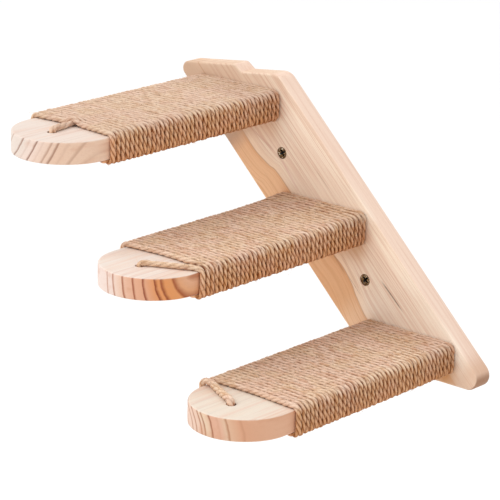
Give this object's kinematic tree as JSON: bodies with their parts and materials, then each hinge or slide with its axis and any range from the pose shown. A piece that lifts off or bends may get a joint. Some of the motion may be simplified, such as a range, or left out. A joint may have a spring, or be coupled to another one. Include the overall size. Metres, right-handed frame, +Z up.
{
  "type": "cat ladder",
  "caption": "Wall-mounted cat ladder: round-nosed wooden treads wrapped in rope, screwed level to a leaning wooden backboard.",
  "frame": {"origin": "on the wall plane at the back of the backboard, midway between the two wall screws", "axes": "+X to the right as seen from the room, +Y into the wall, +Z up; the treads stand out along -Y"},
  "size_m": [0.3227, 0.306, 0.224],
  "materials": {
    "backboard_pine": "planed pine, matt",
    "tread_pine": "planed pine, matt",
    "jute_rope": "twisted natural fibre",
    "screw_bronze": "dark bronze coating"
  },
  "bodies": {
    "root": {"backboard": "backboard_pine", "tread_top": "tread_pine", "tread_middle": "tread_pine", "tread_bottom": "tread_pine", "rope_top": "jute_rope", "rope_middle": "jute_rope", "rope_bottom": "jute_rope", "tread_screw_top_left": "screw_bronze", "tread_screw_top_right": "screw_bronze", "tread_screw_middle_left": "screw_bronze", "tread_screw_middle_right": "screw_bronze", "tread_screw_bottom_left": "screw_bronze", "tread_screw_bottom_right": "screw_bronze", "wall_screw_upper": "screw_bronze", "wall_screw_lower": "screw_bronze"}
  },
  "joints": []
}
